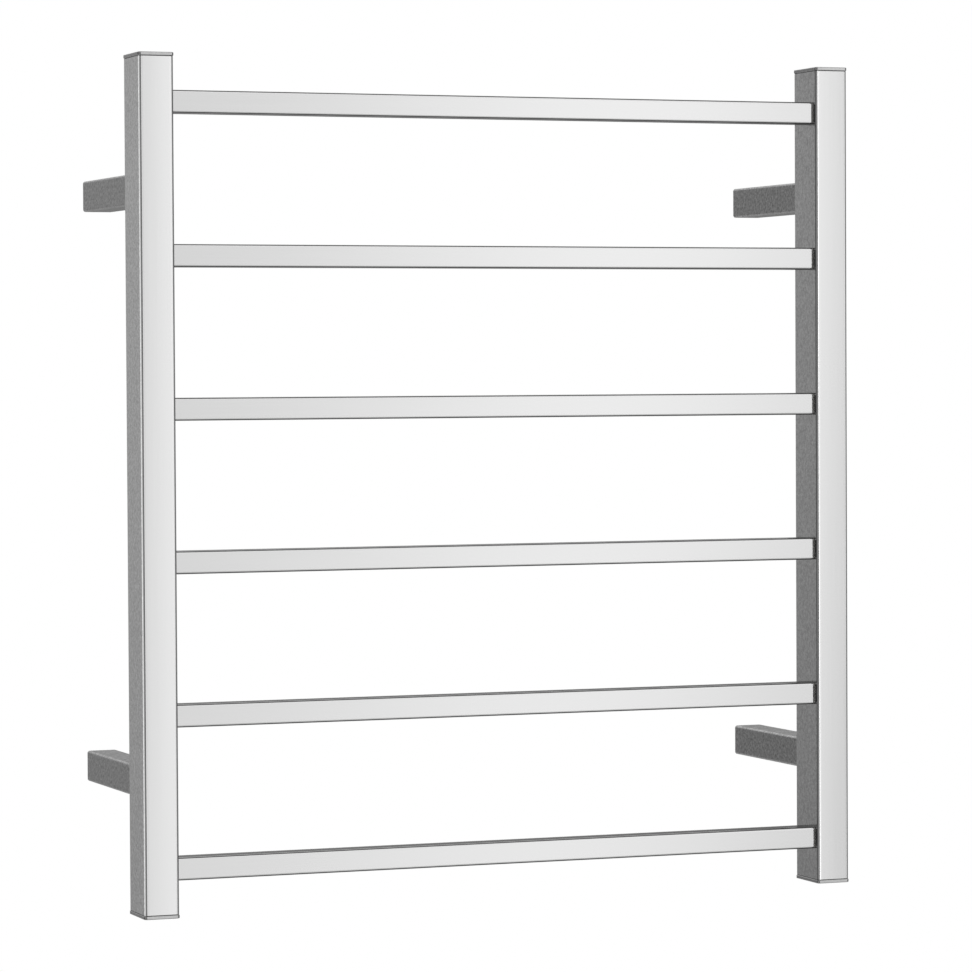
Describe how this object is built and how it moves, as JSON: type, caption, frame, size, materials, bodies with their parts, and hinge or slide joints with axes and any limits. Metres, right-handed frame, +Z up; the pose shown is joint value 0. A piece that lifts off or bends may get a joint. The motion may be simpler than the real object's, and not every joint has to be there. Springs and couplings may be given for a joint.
{
  "type": "towel warmer rack",
  "caption": "Wall-hung electric ladder towel warmer: rectangular stainless posts, square bars between them, square stand-offs over hidden wall bosses.",
  "frame": {"origin": "on the wall plane, at the centre of the four wall screw holes", "axes": "+Z up along the posts, +X along the bars to the right of someone who faces the rack, +Y into the wall"},
  "size_m": [0.5408, 0.1504, 0.6],
  "materials": {
    "tube_steel": "satin brushed",
    "cap_steel": "satin brushed",
    "boss_metal": "bead blasted",
    "screw_steel": "blackened",
    "cable_rubber": "matt",
    "seal_rubber": "matt",
    "terminal_plastic": "matt",
    "brass": "machined",
    "cutout_plastic": "matt"
  },
  "bodies": {
    "wall_bosses": {"wall_boss_upper_left": "boss_metal", "wall_boss_upper_right": "boss_metal", "wall_boss_lower_left": "boss_metal", "wall_boss_lower_right": "boss_metal"},
    "ladder": {"left_post": "tube_steel", "right_post": "tube_steel", "bar_1": "tube_steel", "bar_2": "tube_steel", "bar_3": "tube_steel", "bar_4": "tube_steel", "bar_5": "tube_steel", "bar_6": "tube_steel", "standoff_upper_left": "tube_steel", "standoff_upper_right": "tube_steel", "standoff_lower_left": "tube_steel", "standoff_lower_right": "tube_steel", "left_top_cap": "cap_steel", "left_bottom_cap": "cap_steel", "right_top_cap": "cap_steel", "right_bottom_cap": "cap_steel", "grub_screws": "screw_steel", "heating_cable": "cable_rubber", "cable_end_seal": "seal_rubber", "joint_sleeve": "seal_rubber", "cold_leads": "cable_rubber", "terminal_block": "terminal_plastic", "terminal_screws": "brass", "thermal_cutout": "cutout_plastic", "cutout_leads": "cable_rubber", "earth_tab": "brass"}
  },
  "joints": [
    {"name": "ladder_slide", "type": "slide", "parent": "wall_bosses", "child": "ladder", "axis": [0, -1, 0], "range_m": [0, 0.022]}
  ]
}
